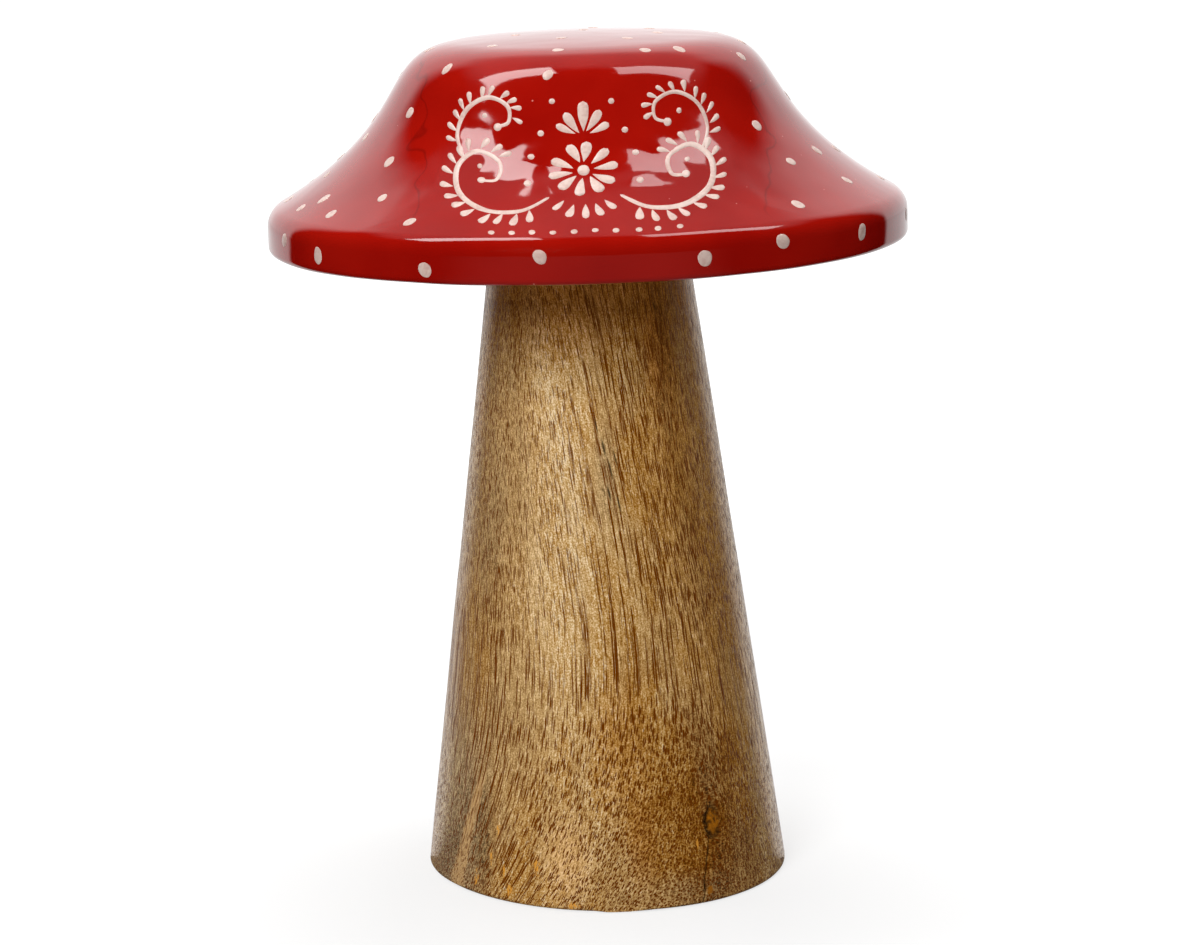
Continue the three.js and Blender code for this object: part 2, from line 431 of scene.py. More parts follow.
def makeMangoWood():
    material, add = newMaterial("mangoWood")
    wood = inMillimetres(add)
    knotDistance, wandered = partRoundKnot(add, wood)
    trunk, grain = runGrain(add, wood, wandered)
    vessels = drawVessels(add, grain)

    # tone of plain wood: broad bands, fibres, speckle and ripple marks
    tone = mango["tone"] - sum(layer[-1] for layer in mango["layers"]) / 2
    layers = []
    for *size, detail, weight in mango["layers"]:
        layers.append(grainNoise(add, trunk, *size, detail))
        tone = add("Math", [layers[-1], weight, tone], "MULTIPLY_ADD")
    fibres, speckle = layers[1:3]

    # marks that lighten or darken it
    # painted highlight: the stem is drawn lighter round the place where the front lamp falls, and darker
    # towards the sides as painted shade
    litBandFrame = aroundPlace(add, wandered, mango["litBandDeg"], mango["litBandHeight"], mango["litBandSize"])
    litBandAway = add("VectorMath", [litBandFrame], "LENGTH")
    sides = add("MapRange", [litBandAway, *mango["shadedSidesFade"]], **smooth)
    height = add("SeparateXYZ", [wood]).outputs["Z"]
    heart, rings = drawHeart(add, wood, knotDistance)
    inside, beside = drawStreak(add, wandered, fibres)
    marks = {
        # pale is that painted highlight and sides is that painted shade
        "pale": add("MapRange", [litBandAway, *mango["litBandFade"], 1, 0], **smooth),
        "sides": sides,
        # neck is painted shade under the cap
        "neck": add("MapRange", [height, *mango["neckShadeFade"]], **smooth),
        "heart": heart,
        "rings": rings,
        "beside": beside,
        "inside": inside,
    }
    for name, weight in mango["markTones"].items():
        tone = add("Math", [marks[name], weight, tone], "MULTIPLY_ADD")
    greyPlace = grainNoise(add, trunk, *mango["greySize"], 2)
    greyShown = add("MapRange", [greyPlace, *mango["greyNoise"], 0, mango["greyShare"]], **smooth)
    hues = [(greyShown, mango["grey"])]
    for *spot, weight, hue, share in mango["stainsAndNeckShade"]:
        stainAndShade = patch(add, wandered, *spot, mango["stainFade"])
        tone = add("Math", [stainAndShade, weight, tone], "MULTIPLY_ADD")
        hues.append((add("Math", [stainAndShade, share], "MULTIPLY"), hue))
    colour = add("ValToRGB", [tone], stops=mango["tones"])
    for share, hue in hues:
        colour = add("Mix", [share, colour, linear(hue)], data_type="RGBA", blend_type="COLOR")

    # what is drawn over it, from the streak to the knot, whose marks follow its cut shape
    quiet = anyOf(add, [patch(add, wandered, *spot, mango["stainFade"]) for spot in mango["quietPlaces"]])
    # the vessels are drawn darker in the painted shade at the sides
    depth = add("MapRange", [sides, 0, 1, *mango["vesselDepth"]])
    for mark, fainter in ((quiet, mango["quiet"]), (inside, mango["streakQuiet"])):
        depth = add("Math", [mark, -fainter, depth], "MULTIPLY_ADD")
    checks = anyOf(add, [patch(add, wood, *check, mango["checkFade"], mango["checkLeanDeg"])
                         for check in mango["checks"]])
    flecks = anyOf(add, [patch(add, wood, *fleck, mango["fleckFade"]) for fleck in mango["flecks"]])
    fleckGrain = grainNoise(add, wood, *mango["fleckGrain"], 2)
    fleckLevel = add("Math", [flecks, mango["fleckLift"], fleckGrain], "MULTIPLY_ADD")
    gold = add("MapRange", [fleckLevel, *mango["fleckNoise"], 0, mango["fleckShare"]])
    amber, dark = [add("Attribute", attribute_name=mark).outputs["Fac"] for mark in ("knotAmber", "knotDark")]
    overlays = {
        "streak": add("Math", [inside, mango["streakShare"]], "MULTIPLY"),
        "vessel": add("Math", [vessels, depth], "MULTIPLY"),
        "check": checks,
        "fleck": add("Math", [gold, flecks], "MULTIPLY"),
        "knotAmber": amber,
        "knotDark": dark,
    }
    for name, share in overlays.items():
        colour = add("Mix", [share, colour, linear(mango[name])], data_type="RGBA")

    # the lacquer sinks into the vessels and leaves the sawn foot bare
    facing = add("SeparateXYZ", [add("NewGeometry").outputs["Normal"]]).outputs["Z"]
    sawn = add("MapRange", [facing, *mango["sawnFacing"], mango["sawnDull"], 0])
    dull = add("Math", [vessels, mango["vesselDull"], sawn], "MULTIPLY_ADD")
    satin = add("Math", [dull, mango["roughness"]], "ADD")
    openGrain = anyOf(add, [vessels, dark, checks])
    shine = add("MapRange", [openGrain, 0, 1, *mango["shine"]])
    sunk = add("Math", [vessels, -1], "MULTIPLY")
    relief = add("Math", [speckle, mango["fibreRelief"], sunk], "MULTIPLY_ADD")
    endMaterial(add, mango, relief, {"Base Color": colour, "Roughness": satin, "Specular IOR Level": shine,
                                     "Specular Tint": linear(mango["lacquer"])})
    return material


# Red enamel, brushed on thick and levelled by itself. The eye sees a deep wet red with wavy mirror
# images, a few specks caught in it and the faint edge of a second coat to either side of the front
enamel = {
    "red": "#960f06",
    "deepRed": "#8a0a04",
    "poolLength": 22,  # mm, from deep red to plain red
    "poolNoise": (0.35, 0.65),
    "edge": "#5c0604",  # the second coat's edges, thin dark lines
    "edges": (-36.5, 41),  # mm to the right of the axis
    "edgeWander": (10, 11),  # mm long, mm aside
    "edgeWidth": 0.5,
    "edgeShare": 0.42,
    "edgeFade": (162, 166),  # mm up, they end above the lip
    "edgeRidge": 0.01,
    "speck": "#d98a80",
    "speckSpacing": 7,
    "speckFade": (0.02, 0.035),  # as shares of that spacing
    "speckShare": 0.7,
    "brushLength": 6,  # mm, the coat is uneven where the front was painted
    "dimpleLength": 6.5,
    "dimpleSmooth": 0.25,
    "dimples": 0.5,
    "paintedSides": (0.5, 0.8),  # radians from the front, where it goes over from uneven to levelled
    "paintedTop": (183, 192),  # mm up, likewise
    "paintedFoot": (168, 161),
    "levelled": 0.12,  # what is left of it elsewhere
    "bumpStrength": 1,
    "bumpDepth": 0.3,  # mm
    "roughness": (0.03, 0.09),
    "ior": 1.5,
}


def makeRedEnamel():
    material, add = newMaterial("redEnamel")
    cap = inMillimetres(add)
    x, y, height = add("SeparateXYZ", [cap]).outputs
    pooled = add("TexNoise", [cap, 1 / enamel["poolLength"], 2])
    deep, plain = enamel["poolNoise"]
    red = add("ValToRGB", [pooled], stops=[(deep, enamel["deepRed"]), (plain, enamel["red"])])

    # edge of the second coat: a thin dark line that wanders up the flank on either side
    wanderLength, wanderAside = enamel["edgeWander"]
    wander = add("TexNoise", [cap, 1 / wanderLength, 1])
    wandered = add("Math", [wander, wanderAside, x], "MULTIPLY_ADD")
    lines = []
    for edge in enamel["edges"]:
        away = add("Math", [wandered, edge + wanderAside / 2], "SUBTRACT")
        distance = add("Math", [away], "ABSOLUTE")
        lines.append(add("MapRange", [distance, 0, enamel["edgeWidth"], 1, 0], **smooth))
    onFlank = add("MapRange", [height, *enamel["edgeFade"]])
    line = add("Math", [anyOf(add, lines), onFlank], "MULTIPLY")
    lineFaint = add("Math", [line, enamel["edgeShare"]], "MULTIPLY")
    edged = add("Mix", [lineFaint, red, linear(enamel["edge"])], data_type="RGBA")

    # specks of dust under the gloss
    dust = add("TexVoronoi", [cap, 1 / enamel["speckSpacing"]])
    speck = add("MapRange", [dust, *enamel["speckFade"], enamel["speckShare"], 0])
    specked = add("Mix", [speck, edged, linear(enamel["speck"])], data_type="RGBA")

    # the coat is uneven where the front was painted and levelled elsewhere
    brushed = add("TexNoise", [cap, 1 / enamel["brushLength"], 0])
    dimples = add("TexVoronoi", {"Vector": cap, "Scale": 1 / enamel["dimpleLength"],
                                 "Smoothness": enamel["dimpleSmooth"]}, feature="SMOOTH_F1")
    uneven = add("Math", [dimples, enamel["dimples"], brushed], "MULTIPLY_ADD")
    front = add("Math", [y, -1], "MULTIPLY")
    angle = add("Math", [x, front], "ARCTAN2")
    fromFront = add("Math", [angle], "ABSOLUTE")
    ends = {"paintedSides": fromFront, "paintedTop": height, "paintedFoot": height}
    painted = [add("MapRange", [place, *enamel[end], 1, enamel["levelled"]], **smooth)
               for end, place in ends.items()]
    paintedAll = reduce(lambda one, other: add("Math", [one, other], "MINIMUM"), painted)
    unevenFront = add("Math", [uneven, paintedAll], "MULTIPLY")
    ridged = add("Math", [line, enamel["edgeRidge"], unevenFront], "MULTIPLY_ADD")
    gloss = add("MapRange", [pooled, 0, 1, *enamel["roughness"]])
    endMaterial(add, enamel, ridged, {"Base Color": specked, "Roughness": gloss})
    return material


# Off-white enamel from a small brush: thick, a little grainy, thinner and pinker in patches
whiteEnamel = {
    "white": "#cbb3a9",
    "thin": "#bb9a90",
    "thinNoise": (0.36, 0.56),
    "grainLength": 0.7,  # mm
    "patchLength": 4,
    "bumpStrength": 0.35,
    "bumpDepth": 0.05,
    "roughness": 0.28,
    "ior": 1.5,
}


def makeWhitePaint():
    material, add = newMaterial("whitePaint")
    place = add("TexCoord").outputs["Object"]
    grains = add("TexNoise", [place, 1 / (whiteEnamel["grainLength"] * mm), 3])
    patches = add("TexNoise", [place, 1 / (whiteEnamel["patchLength"] * mm), 2])
    both = add("Math", [grains, patches], "ADD")
    mean = add("Math", [both, 2], "DIVIDE")
    thin, thick = whiteEnamel["thinNoise"]
    colour = add("ValToRGB", [mean], stops=[(thin, whiteEnamel["thin"]), (thick, whiteEnamel["white"])])
    endMaterial(add, whiteEnamel, grains, {"Base Color": colour, "Roughness": whiteEnamel["roughness"]})
    return material


# Bare wood under the cap and milled beech inside it: pale and dull, with straight fibres
plainWoods = {
    "bareWood": {"light": "#cfae7c", "dark": "#a9824e", "fleck": "#8a6233", "band": 2.4, "fleckSize": 0.8},
    "beech": {"light": "#dcbc8e", "dark": "#c7a069", "fleck": "#a87a48", "band": 1.2, "fleckSize": 0.5},
}
plainFinish = {
    "bandLength": 60,  # mm
    "bandNoise": (0.32, 0.68),
    "fleckLength": 8,
    "fleckFade": (0.15, 0.32),
    "fleckShare": 0.8,
    "bumpStrength": 0.4,
    "bumpDepth": 0.1,
    "roughness": 0.7,
    "ior": 1.5,
}


def makePlainWood(name, grainTurn):
    wood = plainWoods[name]
    material, add = newMaterial(name)
    grain = inMillimetres(add, grainTurn)
    bands = grainNoise(add, grain, wood["band"], plainFinish["bandLength"], 4)
    dark, light = plainFinish["bandNoise"]
    ground = add("ValToRGB", [bands], stops=[(dark, wood["dark"]), (light, wood["light"])])
    across, along = 1 / wood["fleckSize"], 1 / plainFinish["fleckLength"]
    cells = add("TexVoronoi", [add("Mapping", {"Vector": grain, "Scale": (across, across, along)}), 1])
    fleck = add("MapRange", [cells, *plainFinish["fleckFade"], plainFinish["fleckShare"], 0])
    flecked = add("Mix", [fleck, ground, linear(wood["fleck"])], data_type="RGBA")
    endMaterial(add, plainFinish, bands, {"Base Color": flecked, "Roughness": plainFinish["roughness"]})
    return material


# Stem: a straight taper, bored in its neck and sawn level at its foot; lengths in mm
stemForm = {
    "neckDiameter": 46.0,
    "boreDiameter": 12.6,
    "boreDepth": 35.2,
    "sawn": 8.0,  # mm of stock below the foot, cut away level
    "sides": 192,
    "rings": 110,
    "footBreak": 0.9,
    "footBreakSteps": 3,
    "unevenness": 0.12,  # mm, sanded by hand
    "unevenLength": 26,
    "skin": 0.6,  # mm, what lies deeper is the bore
    "topFacing": 0.9,  # faces whose normals point up more than this are the neck's top
    "soleFacing": -0.2,  # and those that point down more than this are the sole
}
knotForm = {
    "halfWidth": 2.0,
    "halfLength": 3.3,
    "torn": [(0.9, 0.5), (2.2, 0.4)],  # ragged edges: how many to a mm and how strong
    "tornRing": 0.5,
    "groove": 0.55,  # mm deep round the knot's plug
    "grooveWidth": 0.45,  # as a share of the knot's half width
    "grooveDepthAndShade": (0.806, 0.52, 0.39),  # how much of it, how much more on the left, how ragged; it sets both the groove's depth and its painted shade
    "grooveLeast": 0.1,
    "grooveTurn": 0.1,  # how softly it goes over from left to right
    "plug": 0.2,  # mm that the plug itself lies low
    "plugEdge": 0.25,
    "breaks": (1.3, 0.8, 2.4),  # in the plug: how many to a mm across and up, how strong
    "breakSeat": 7,
    "spike": 4.5,  # mm of crack above the knot
    "crackLeftDeg": 1.2,  # how far left of the knot's middle the crack starts
    "crackFootDeg": 32.6,  # where the crack below it runs out at the foot
    "crackWander": (0.3, 0.7, 3),  # bends to a mm, mm aside, and how soon it wanders off
    "crackSeats": [(0, 4), (9, 2)],  # the noise that its bends and its width are cut from
    "crackWidth": 0.3,
    "crackLeast": 0.01,
    "crackUneven": (0.5, 0.8, 0.7),  # changes to a mm, share of the width that stays and that changes
    "crackFrom": 0.8,  # as a share of the knot's half length
    "crackDepth": 0.45,
    "nuggetDeg": 34.2,  # a bit of pith at the crack's foot
    "nuggetHeight": 2.2,
    "nuggetRadius": 1.1,
    "nuggetTorn": 0.6,
    "nuggetEdge": 0.3,
    "darkness": (1.1, 1.3, 0.8),  # of groove, crack and breaks
    "amber": (0.6, 0.9),  # taken off by the breaks, and of the nugget
    "reach": 7.0,  # mm round the knot and crack that are divided finely
    "reachMiddle": 0.6,  # as a share of the knot's height
    "reachUp": 0.75,
    "cuts": 5,
}


def asShare(value):
    return min(1, max(0, value))


def knotMarks(place):
    # how deep, how dark and how amber the upright stem is at a place on its side, place in mm
    angle = math.degrees(math.atan2(place.x, -place.y))
    perDegree = math.radians(1) * stemRadius(place.z)
    torn = sum(noise.noise(place * often) * strong for often, strong in knotForm["torn"])

    # a plug with a groove round it, which is deepest on the left; the groove's dark colour follows that
    # depth, so the knot's dark ring is drawn darker on the left as painted shade
    up = (place.z - mango["knotHeight"]) / knotForm["halfLength"]
    aside = (angle - mango["knotDeg"]) * perDegree / knotForm["halfWidth"]
    ring = math.hypot(aside, up) + torn * knotForm["tornRing"]
    allRound, onLeft, ragged = knotForm["grooveDepthAndShade"]
    leftShare = -aside / (abs(aside) + abs(up) + knotForm["grooveTurn"])
    deep = min(1, max(knotForm["grooveLeast"], allRound + onLeft * leftShare + ragged * torn))
    groove = max(0, 1 - abs(ring - 1) / knotForm["grooveWidth"]) * deep
    plug = asShare((1 - ring) / knotForm["plugEdge"])
    across, along, strong = knotForm["breaks"]
    breakPlace = Vector((place.x * across, place.y * across, place.z * along + knotForm["breakSeat"]))
    broken = asShare(strong * noise.noise(breakPlace))

    # the crack runs from a spike above the knot down to the foot
    fall = (mango["knotHeight"] - place.z) / mango["knotHeight"]
    startDeg = mango["knotDeg"] - knotForm["crackLeftDeg"]
    crackDeg = startDeg + (knotForm["crackFootDeg"] - mango["knotDeg"]) * max(fall, 0)
    bendSeat, widthSeat = knotForm["crackSeats"]
    often, most, soon = knotForm["crackWander"]
    wander = noise.noise(Vector((*bendSeat, place.z * often))) * most
    crackAside = abs((angle - crackDeg) * perDegree + wander * min(1, abs(fall) * soon))
    top = mango["knotHeight"] + knotForm["halfLength"] + knotForm["spike"]
    often, steady, uneven = knotForm["crackUneven"]
    share = steady + noise.noise(Vector((*widthSeat, place.z * often))) * uneven
    width = knotForm["crackWidth"] * asShare((top - place.z) / knotForm["spike"]) * share
    crack = max(0, 1 - crackAside / max(width, knotForm["crackLeast"]))
    if abs(up) <= knotForm["crackFrom"]:
        crack = 0

    nuggetAside = (angle - knotForm["nuggetDeg"]) * perDegree
    nuggetAway = math.hypot(nuggetAside, place.z - knotForm["nuggetHeight"]) / knotForm["nuggetRadius"]
    nugget = asShare((1 - nuggetAway - torn * knotForm["nuggetTorn"]) / knotForm["nuggetEdge"])

    depth = knotForm["groove"] * groove + knotForm["plug"] * plug * (1 + broken)
    ofGroove, ofCrack, ofBreaks = knotForm["darkness"]
    dark = min(1, max(groove * ofGroove, crack * ofCrack, plug * broken * ofBreaks))
    offBreaks, ofNugget = knotForm["amber"]
    amber = max(plug * (1 - offBreaks * broken), nugget * ofNugget)
    return max(depth, knotForm["crackDepth"] * crack), dark * (1 - nugget), amber


def makeStem(material):
    low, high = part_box("stem")
    footRadius = (high.y - low.y) / 2
    neckRadius = stemForm["neckDiameter"] / 2 * mm
    top = turning["neckHeight"] * mm
    sawn = stemForm["sawn"] * mm
    stockRadius = footRadius + (footRadius - neckRadius) * sawn / top
    bpy.ops.object.select_all(action="DESELECT")
    bpy.ops.mesh.primitive_cone_add(vertices=stemForm["sides"], radius1=stockRadius, radius2=neckRadius,
                                    depth=top + sawn, location=(0, 0, (top - sawn) / 2))
    stem = bpy.context.object
    bpy.ops.object.transform_apply()
    bpy.ops.object.mode_set(mode="EDIT")
    pick(stem, "EDGE", lambda edge: abs(edge.verts[0].co.z - edge.verts[1].co.z) > sawn)
    bpy.ops.mesh.subdivide(number_cuts=stemForm["rings"])
    pick(stem, "FACE", lambda face: face.normal.z > stemForm["topFacing"])
    bpy.ops.mesh.inset(thickness=neckRadius - stemForm["boreDiameter"] / 2 * mm)
    bpy.ops.mesh.extrude_region_move(TRANSFORM_OT_translate={"value": (0, 0, -stemForm["boreDepth"] * mm)})
    bpy.ops.object.mode_set(mode="OBJECT")

    # leaned, sawn level at the foot, and its edge sanded round
    leanPiece(stem)
    cutBelow(0)
    pick(stem, "EDGE", lambda edge: max(abs(vert.co.z) for vert in edge.verts) < levelDistance)
    bpy.ops.mesh.bevel(offset=stemForm["footBreak"] * mm, segments=stemForm["footBreakSteps"], affect="EDGES")

    # finer faces round the knot and its crack
    middleDeg = (mango["knotDeg"] + knotForm["crackFootDeg"]) / 2
    middle = lean @ (onStem(middleDeg, mango["knotHeight"] * knotForm["reachMiddle"]) * mm)
    reach = knotForm["reach"] * mm
    reachUp = mango["knotHeight"] * knotForm["reachUp"] * mm

    def nearKnot(face):
        away = face.calc_center_median() - middle
        onSide = face.normal.z > stemForm["soleFacing"]
        return onSide and math.hypot(away.x, away.y) < reach and abs(away.z) < reachUp

    pick(stem, "FACE", nearKnot)
    bpy.ops.mesh.subdivide(number_cuts=knotForm["cuts"])
    bpy.ops.object.mode_set(mode="OBJECT")

    # hand-sanded unevenness, then the knot and crack are sunk and marked
    darkMarks = stem.data.attributes.new("knotDark", "FLOAT", "POINT")
    amberMarks = stem.data.attributes.new("knotAmber", "FLOAT", "POINT")
    straight = lean.inverted()
    for vert in stem.data.vertices:
        place = (straight @ vert.co) / mm
        radius = math.hypot(place.x, place.y)
        if radius < stemRadius(place.z) - stemForm["skin"]:
            continue
        outward = Vector((place.x, place.y, 0)) / radius
        uneven = noise.noise(place / stemForm["unevenLength"]) * stemForm["unevenness"]
        depth, dark, amber = knotMarks(place)
        vert.co += lean @ (outward * (uneven - depth) * mm)
        vert.co.z = max(vert.co.z, 0)
        darkMarks.data[vert.index].value = dark
        amberMarks.data[vert.index].value = amber
    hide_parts("stem")
    finishPiece(stem, "turnedStem", material)


# Cap: its outline runs from under the lip over lip, flank and crown; all lengths in mm
capForm = {
    "height": 48.6,
    "lipLowerRound": 1.5,
    "lipBand": 4.7,
    "lipUpperRound": 5.2,
    "brimSlopeDeg": 29.4,
    "brimSweep": 39.0,
    "crownDiameter": 58.6,
    "crownRise": 1.2,
    "shoulderSweep": 19.4,
    "coat": 0.8,
    "wrap": 7.0,  # how far the coat runs in under the lip
    "brushEdge": 0.65,  # round of the coat's edge there, as a share of its thickness
    "steps": {"lowerRound": 6, "band": 3, "upperRound": 12, "flank": 44, "crown": 14, "brushEdge": 5},
    "spinSteps": 256,
    "waver": 0.11,  # mm that the levelled coat stands proud or low
    "waverLength": 17,
    "shortWaver": (0.42, 0.3),  # a finer waver: its length and height as shares of that
    "leastRadius": 1,  # nothing is wrapped closer round the crown's middle than this
}


def arcPoints(centre, radius, startDeg, endDeg, steps):
    turns = [math.radians(startDeg + (endDeg - startDeg) * step / steps) for step in range(steps + 1)]
    return [Vector((centre[0] + radius * math.cos(t), centre[1] + radius * math.sin(t))) for t in turns]


def capOutline():
    # radius and height of each point, from the lip's underside to the middle of the crown
    low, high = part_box("cap_enamel")
    rim = (high.y - low.y) / 2 / mm
    lowerRound, band, upperRound = capForm["lipLowerRound"], capForm["lipBand"], capForm["lipUpperRound"]
    steps = capForm["steps"]
    points = arcPoints((rim - lowerRound, lowerRound), lowerRound, -90, 0, steps["lowerRound"])
    points += [Vector((rim, lowerRound + band * step / steps["band"])) for step in range(1, steps["band"])]
    slopeDeg = capForm["brimSlopeDeg"]
    upperCentre = (rim - upperRound, lowerRound + band)
    points += arcPoints(upperCentre, upperRound, 0, 90 - slopeDeg, steps["upperRound"])

    # the flank sweeps from the brim's slope up into the crown
    crownRadius = capForm["crownDiameter"] / 2
    crownDeg = math.degrees(2 * math.atan2(capForm["crownRise"], crownRadius))
    slope, crownTurn = math.radians(slopeDeg), math.radians(crownDeg)
    brim = points[-1]
    brimPull = brim + Vector((-math.cos(slope), math.sin(slope))) * capForm["brimSweep"]
    crownEdge = Vector((crownRadius, capForm["height"] - capForm["crownRise"]))
    crownPull = crownEdge + Vector((math.cos(crownTurn), -math.sin(crownTurn))) * capForm["shoulderSweep"]
    for step in range(1, steps["flank"]):
        t = step / steps["flank"]
        points.append(brim * (1 - t) ** 3 + brimPull * 3 * t * (1 - t) ** 2
                      + crownPull * 3 * t * t * (1 - t) + crownEdge * t ** 3)
    crownBend = crownRadius / math.sin(crownTurn)
    points += arcPoints((0, capForm["height"] - crownBend), crownBend, 90 - crownDeg, 90, steps["crown"])
    points[-1].x = 0
    return points


outline = capOutline()
outlineNormals = []
for index, point in enumerate(outline):
    tangent = outline[min(index + 1, len(outline) - 1)] - outline[max(index - 1, 0)]
    outlineNormals.append(Vector((tangent.y, -tangent.x)).normalized())
outlineNormals[0] = Vector((0, -1))
outlineNormals[-1] = Vector((0, 1))
outlineAlong = [0]
for before, after in zip(outline, outline[1:]):
    outlineAlong.append(outlineAlong[-1] + (after - before).length)


def waver(place):
    # how far the coat stands proud at a place on the upright cap, mm
    shortLength, shortHeight = capForm["shortWaver"]
    long = noise.noise(place / capForm["waverLength"])
    short = noise.noise(place / (capForm["waverLength"] * shortLength))
    return capForm["waver"] * (long + shortHeight * short)


def outlineAt(along):
    # point and normal on the outline, by mm along it
    after = min(max(bisect.bisect(outlineAlong, along), 1), len(outline) - 1)
    start, end = outlineAlong[after - 1], outlineAlong[after]
    share = (along - start) / (end - start)
    return [places[after - 1].lerp(places[after], share) for places in (outline, outlineNormals)]


def onCap(angle, along, lift):
    # place on the leaning cap in metres: angle from the front, mm along the outline, mm above the coat
    point, normal = outlineAt(along)
    facing = Vector((math.sin(angle), -math.cos(angle), 0))
    place = facing * point.x + upright * (turning["rimHeight"] + point.y)
    outward = facing * normal.x + upright * normal.y
    return lean @ ((place + outward * (lift + waver(place))) * mm)


def makeCapEnamel(material):
    coat = capForm["coat"]
    wrapEdge = outline[0].x - capForm["wrap"]
    inside = [point - normal * coat for point, normal in zip(outline, outlineNormals)]
    inside[-1].x = 0
    brushRound = coat * capForm["brushEdge"]
    brushEdge = arcPoints((wrapEdge, brushRound), brushRound, 180, 270, capForm["steps"]["brushEdge"])
    section = inside[::-1] + [Vector((wrapEdge, brushRound * 2))] + brushEdge + outline
    section = [Vector((point.x, 0, turning["rimHeight"] + point.y)) * mm for point in section]
    bpy.ops.object.select_all(action="DESELECT")
    bpy.ops.mesh.primitive_plane_add(size=mm, location=section[0])
    cap = bpy.context.object
    bpy.ops.object.transform_apply()
    bpy.ops.object.mode_set(mode="EDIT")
    bpy.ops.mesh.select_mode(type="VERT")
    bpy.ops.mesh.select_all(action="SELECT")
    bpy.ops.mesh.merge(type="CENTER")
    for before, after in zip(section, section[1:]):
        bpy.ops.mesh.extrude_region_move(TRANSFORM_OT_translate={"value": after - before})
    bpy.ops.mesh.select_all(action="SELECT")
    bpy.ops.mesh.spin(steps=capForm["spinSteps"], angle=2 * math.pi, center=(0, 0, 0), axis=(0, 0, 1))
    closeMesh()
    moved = [vert.co + vert.normal * waver(vert.co / mm) * mm for vert in cap.data.vertices]
    for vert, place in zip(cap.data.vertices, moved):
        vert.co = place
    leanPiece(cap)
    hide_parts("cap_enamel")
    finishPiece(cap, "capEnamel", material)


# Painted dots: the toadstool's spots, each one dab of a round brush; lengths in mm
dotForm = {
    "lipDiameter": 3.3,
    "flankDiameter": 2.8,
    "rise": 0.17,  # mm at the middle of a dab
    "sides": 20,
    "rings": 10,
    "sunk": 0.4,  # how much of a dab's lower half is kept
    # angle from the front in degrees, mm along the outline
    "lipSpots": [(-52.9, 5.0), (-27.8, 4.1), (-7.5, 7.3), (20.0, 5.4), (34.9, 7.4), (55.0, 6.4)],
    "flankSpots": [(-49.6, 59.0), (-57.0, 47.1), (-52.9, 34.0), (-45.5, 23.4), (-33.7, 16.3), (-55.6, 16.3),
                   (-69.4, 15.9), (-64.6, 20.3), (-46.2, 71.9), (-9.3, 68.1), (-10.5, 57.8), (24.6, 65.5),
                   (38.6, 64.6), (65.6, 59.1), (51.3, 41.5), (68.9, 31.6), (53.5, 30.4), (66.0, 21.2),
                   (43.3, 17.1)],
    "lipPitchDeg": 24,  # the lip's spots go on round the back
    "lipShakeDeg": 3,
    "lipAlong": (4.2, 7.0),
    "backStartDeg": 78,  # beyond this, either way, the spots are scattered at the front's density
    "backAlong": 14,  # mm along the outline, from here to near the crown's middle
    "backSpacing": 11.5,  # mm
    "crownAlong": 68,  # mm along the outline, where the crown begins
    "crownSpacing": 15,
    "crownMiddle": 2,
    "tries": 6000,
    "size": (0.88, 1.1),  # as shares of the diameter
    "stretch": (1.0, 1.16),
    "raggedness": 0.12,
    "seats": 50,  # the noise that each dab's edge is cut from
    "seed": 5,
}


def scatterSpots():
    # lip spots go on round the back, flank and crown spots keep a distance from each other
    scatter = random.Random(dotForm["seed"])
    shake = dotForm["lipShakeDeg"]
    lip = list(dotForm["lipSpots"])
    angle = lip[-1][0] + dotForm["lipPitchDeg"]
    while angle < 360 + lip[0][0] - dotForm["lipPitchDeg"] / 2:
        lip.append((angle + scatter.uniform(-shake, shake), scatter.uniform(*dotForm["lipAlong"])))
        angle += dotForm["lipPitchDeg"]
    flank = list(dotForm["flankSpots"])
    taken = [onCap(math.radians(angle), along, 0) for angle, along in flank]
    for attempt in range(dotForm["tries"]):
        along = scatter.uniform(dotForm["backAlong"], outlineAlong[-1] - dotForm["crownMiddle"])
        if scatter.random() > outlineAt(along)[0].x / outline[0].x:
            continue
        onCrown = along >= dotForm["crownAlong"]
        start = 0 if onCrown else dotForm["backStartDeg"]
        angle = scatter.uniform(start, 360 - start)
        place = onCap(math.radians(angle), along, 0)
        apart = dotForm["crownSpacing"] if onCrown else dotForm["backSpacing"]
        if min((place - other).length for other in taken) > apart * mm:
            taken.append(place)
            flank.append((angle, along))
    return lip, flank


def wrapOnCap(piece, centreDeg, centreAlong, rise):
    # lays a flat piece, x across and y up the outline in mm, on the coat; z is a share of the rise
    for vert in piece.data.vertices:
        along = min(max(centreAlong + vert.co.y, 0), outlineAlong[-1])
        radius = max(outlineAt(along)[0].x, capForm["leastRadius"])
        vert.co = onCap(math.radians(centreDeg) + vert.co.x / radius, along, vert.co.z * rise)


